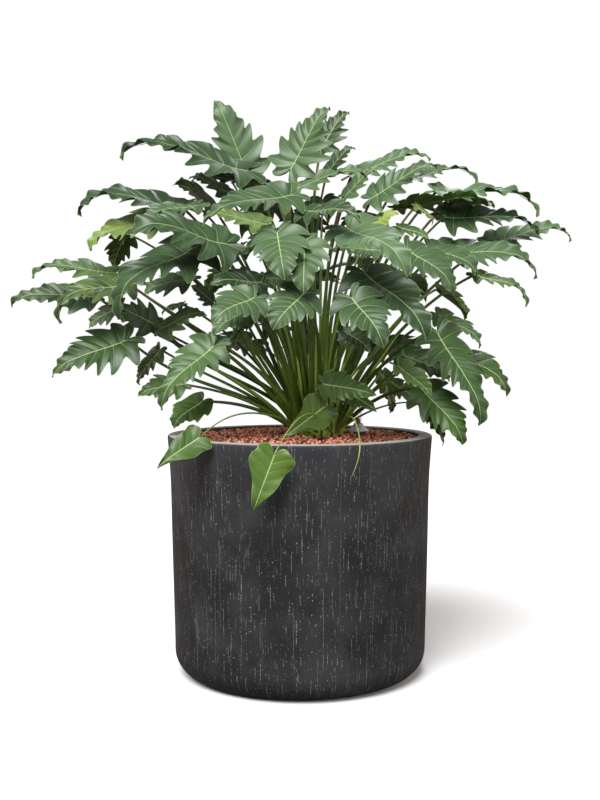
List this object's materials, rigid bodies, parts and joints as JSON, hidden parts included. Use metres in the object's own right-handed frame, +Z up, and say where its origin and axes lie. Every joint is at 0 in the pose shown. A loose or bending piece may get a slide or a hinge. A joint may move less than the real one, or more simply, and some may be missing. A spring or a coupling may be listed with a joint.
{
  "type": "potted xanadu philodendron",
  "caption": "Xanadu philodendron with lobed grey-green leaves in a round dark streaked planter, on clay granules with a water-level gauge.",
  "frame": {"origin": "centre of the planter's underside, where it meets the floor", "axes": "+Z up the planter's axis; the front, as in the picture, is seen along +Y, with +X to the right"},
  "size_m": [0.9329, 0.6261, 0.9549],
  "materials": {
    "planter": "dark fibre cement, matt, with fine upright pale streaks and pits",
    "granules": "fired expanded clay, dull red-brown",
    "crown": "fibrous brown stem base",
    "leaf": "waxy grey-green blade with pale veins, reddish-brown stalk",
    "clear": "clear moulded plastic",
    "grey": "grey moulded plastic",
    "red": "red moulded plastic"
  },
  "bodies": {
    "root": {"clay_granules": "granules", "gauge_bell": "clear", "gauge_cap": "clear", "gauge_float": "red", "gauge_ring": "grey", "gauge_tube": "clear", "planter": "planter", "root_crown": "crown", "shoot_arching_left": "leaf", "shoot_back_1_1": "leaf", "shoot_back_1_2": "leaf", "shoot_back_2_1": "leaf", "shoot_back_2_2": "leaf", "shoot_back_3_1": "leaf", "shoot_back_3_2": "leaf", "shoot_big_left": "leaf", "shoot_bright_left": "leaf", "shoot_bright_right": "leaf", "shoot_dark_left": "leaf", "shoot_drooping_right": "leaf", "shoot_edge_left": "leaf", "shoot_far_left": "leaf", "shoot_far_left_bright": "leaf", "shoot_far_right": "leaf", "shoot_folded_middle": "leaf", "shoot_front_edge": "leaf", "shoot_front_left": "leaf", "shoot_front_left_under": "leaf", "shoot_front_low": "leaf", "shoot_front_low_middle": "leaf", "shoot_front_low_right": "leaf", "shoot_front_middle": "leaf", "shoot_high_front": "leaf", "shoot_inner_left": "leaf", "shoot_large_left_front": "leaf", "shoot_large_right_front": "leaf", "shoot_large_right_upper": "leaf", "shoot_left_heart": "leaf", "shoot_left_under": "leaf", "shoot_long_left": "leaf", "shoot_low_left": "leaf", "shoot_low_left_front": "leaf", "shoot_low_left_round": "leaf", "shoot_low_right": "leaf", "shoot_middle_left": "leaf", "shoot_right_behind": "leaf", "shoot_right_dark": "leaf", "shoot_right_long": "leaf", "shoot_right_middle": "leaf", "shoot_right_outer": "leaf", "shoot_right_pair": "leaf", "shoot_right_top_long": "leaf", "shoot_top_left": "leaf", "shoot_top_middle": "leaf", "shoot_top_right": "leaf", "shoot_upper_right": "leaf", "shoot_upper_right_back": "leaf", "shoot_upper_right_front": "leaf", "shoot_yellow_left": "leaf"}
  },
  "joints": []
}
